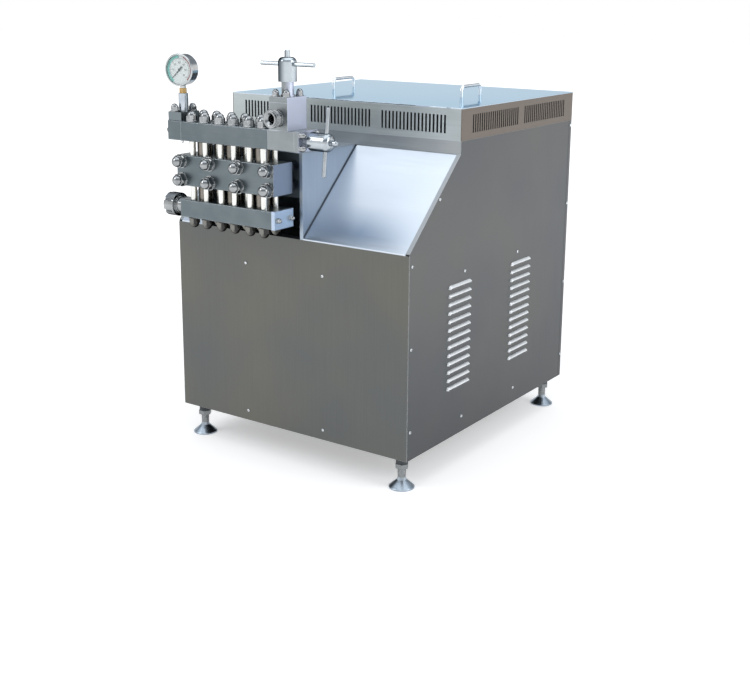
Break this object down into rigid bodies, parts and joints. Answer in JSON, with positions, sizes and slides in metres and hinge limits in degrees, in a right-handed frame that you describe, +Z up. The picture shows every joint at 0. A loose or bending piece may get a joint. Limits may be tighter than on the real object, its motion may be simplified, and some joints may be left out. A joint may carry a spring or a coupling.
{
  "type": "dairy homogenizer",
  "caption": "Floor-standing stainless steel dairy homogenizer: louvred cabinet with lift-off vented lid, plunger pump head, two-stage homogenizing valve and pressure gauge.",
  "frame": {"origin": "on the floor, under the centre of the whole machine", "axes": "+Z up, -Y to the front where the pump head is, +X to the right seen from the front"},
  "size_m": [0.918, 1.172, 1.3045],
  "materials": {
    "panel_steel": "brushed",
    "bright_sheet": "bright",
    "head_steel": "satin",
    "polished_steel": "polished",
    "brass": "satin",
    "painted_frame": "satin paint",
    "cast_casing": "painted casting",
    "cast_pulley": "machined casting",
    "belt_rubber": "matte",
    "dial_white": "matte",
    "needle_black": "matte",
    "lens_glass": "clear"
  },
  "bodies": {
    "cabinet": {"frame_tubes": "painted_frame", "machine_decks": "painted_frame", "front_panel": "panel_steel", "right_side_panel": "panel_steel", "left_side_panel": "panel_steel", "rear_panel": "panel_steel", "chute_panel": "bright_sheet", "left_slope_panel": "bright_sheet", "tower_hood": "bright_sheet", "upper_front_strip": "panel_steel", "foot_lock_nuts": "polished_steel", "crankcase": "cast_casing", "crankcase_cover": "cast_casing", "motor_housing": "cast_casing", "drive_belts": "belt_rubber", "head_spacers": "head_steel", "packing_glands": "brass", "cylinder_block": "head_steel", "suction_manifold": "head_steel", "discharge_manifold": "head_steel", "valve_sleeves": "polished_steel", "tie_studs": "polished_steel", "tie_stud_nuts": "polished_steel", "block_studs": "polished_steel", "block_nuts": "polished_steel", "manifold_end_plate": "head_steel", "inlet_union": "polished_steel", "gauge_block": "head_steel", "gauge_stem": "head_steel", "gauge_connector": "brass", "gauge_case": "polished_steel", "gauge_dial": "dial_white", "gauge_lens": "lens_glass", "valve_block": "head_steel", "small_dome_nuts": "polished_steel", "stage_one_bonnet": "head_steel", "discharge_union": "polished_steel", "stage_two_bonnet": "head_steel"},
    "lid": {"lid_top": "bright_sheet", "lid_vent_walls": "panel_steel", "lid_handles": "polished_steel"},
    "crank": {"crankshaft": "polished_steel", "drive_pulley": "cast_pulley"},
    "motor_rotor": {"motor_shaft": "polished_steel", "motor_pulley": "cast_pulley"},
    "plunger_left": {"plunger_left": "polished_steel"},
    "plunger_middle": {"plunger_middle": "polished_steel"},
    "plunger_right": {"plunger_right": "polished_steel"},
    "suction_valves": {"suction_balls": "polished_steel"},
    "discharge_valves": {"discharge_balls": "polished_steel"},
    "inlet_nut": {"inlet_union_nut": "polished_steel"},
    "gauge_needle": {"gauge_needle": "needle_black"},
    "stage_one_screw": {"stage_one_spindle": "polished_steel"},
    "stage_one_handle": {"stage_one_handle": "polished_steel"},
    "stage_two_screw": {"stage_two_spindle": "polished_steel"},
    "stage_two_handle": {"stage_two_handle": "polished_steel"},
    "foot_front_left": {"foot_front_left": "polished_steel"},
    "foot_front_right": {"foot_front_right": "polished_steel"},
    "foot_rear_left": {"foot_rear_left": "polished_steel"},
    "foot_rear_right": {"foot_rear_right": "polished_steel"}
  },
  "joints": [
    {"name": "lid_lift", "type": "slide", "parent": "cabinet", "child": "lid", "axis": [0, 0, 1], "range_m": [0, 0.35]},
    {"name": "crank_turn", "type": "hinge", "parent": "cabinet", "child": "crank", "pos_m": [0.15, 0.081, 0.926], "axis": [1, 0, 0], "continuous": true},
    {"name": "motor_turn", "type": "hinge", "parent": "cabinet", "child": "motor_rotor", "pos_m": [0.15, 0.251, 0.3282], "axis": [1, 0, 0], "continuous": true},
    {"name": "plunger_left_stroke", "type": "slide", "parent": "cabinet", "child": "plunger_left", "axis": [0, 1, 0], "range_m": [-0.025, 0.025]},
    {"name": "plunger_middle_stroke", "type": "slide", "parent": "cabinet", "child": "plunger_middle", "axis": [0, 1, 0], "range_m": [-0.025, 0.025]},
    {"name": "plunger_right_stroke", "type": "slide", "parent": "cabinet", "child": "plunger_right", "axis": [0, 1, 0], "range_m": [-0.025, 0.025]},
    {"name": "suction_ball_lift", "type": "slide", "parent": "cabinet", "child": "suction_valves", "axis": [0, 0, 1], "range_m": [0, 0.008]},
    {"name": "discharge_ball_lift", "type": "slide", "parent": "cabinet", "child": "discharge_valves", "axis": [0, 0, 1], "range_m": [0, 0.008]},
    {"name": "inlet_nut_turn", "type": "hinge", "parent": "cabinet", "child": "inlet_nut", "pos_m": [-0.3965, -0.5015, 0.8065], "axis": [1, 0, 0], "continuous": true},
    {"name": "needle_swing", "type": "hinge", "parent": "cabinet", "child": "gauge_needle", "pos_m": [-0.3535, -0.5015, 1.2305], "axis": [-0.1736, 0.9848, 0], "range_deg": [0, 270]},
    {"name": "stage_one_feed", "type": "slide", "parent": "cabinet", "child": "stage_one_screw", "axis": [0, 0, 1], "range_m": [-0.004, 0]},
    {"name": "stage_one_turn", "type": "hinge", "parent": "stage_one_screw", "child": "stage_one_handle", "pos_m": [0.0615, -0.5015, 1.2575], "axis": [0, 0, 1], "range_deg": [-720, 0]},
    {"name": "stage_two_feed", "type": "slide", "parent": "cabinet", "child": "stage_two_screw", "axis": [1, 0, 0], "range_m": [-0.004, 0]},
    {"name": "stage_two_turn", "type": "hinge", "parent": "stage_two_screw", "child": "stage_two_handle", "pos_m": [0.1785, -0.5015, 1.0475], "axis": [1, 0, 0], "range_deg": [-720, 0]},
    {"name": "foot_front_left_turn", "type": "hinge", "parent": "cabinet", "child": "foot_front_left", "pos_m": [-0.403, -0.392, 0.106], "axis": [0, 0, 1], "continuous": true},
    {"name": "foot_rear_left_turn", "type": "hinge", "parent": "cabinet", "child": "foot_rear_left", "pos_m": [-0.403, 0.539, 0.106], "axis": [0, 0, 1], "continuous": true},
    {"name": "foot_front_right_turn", "type": "hinge", "parent": "cabinet", "child": "foot_front_right", "pos_m": [0.403, -0.392, 0.106], "axis": [0, 0, 1], "continuous": true},
    {"name": "foot_rear_right_turn", "type": "hinge", "parent": "cabinet", "child": "foot_rear_right", "pos_m": [0.403, 0.539, 0.106], "axis": [0, 0, 1], "continuous": true}
  ],
  "couplings": [
    {"joint": "motor_turn", "follows": "crank_turn", "ratio": 2},
    {"joint": "stage_one_feed", "follows": "stage_one_turn", "m_per_rad": 0.00031831},
    {"joint": "stage_two_feed", "follows": "stage_two_turn", "m_per_rad": 0.00031831}
  ]
}
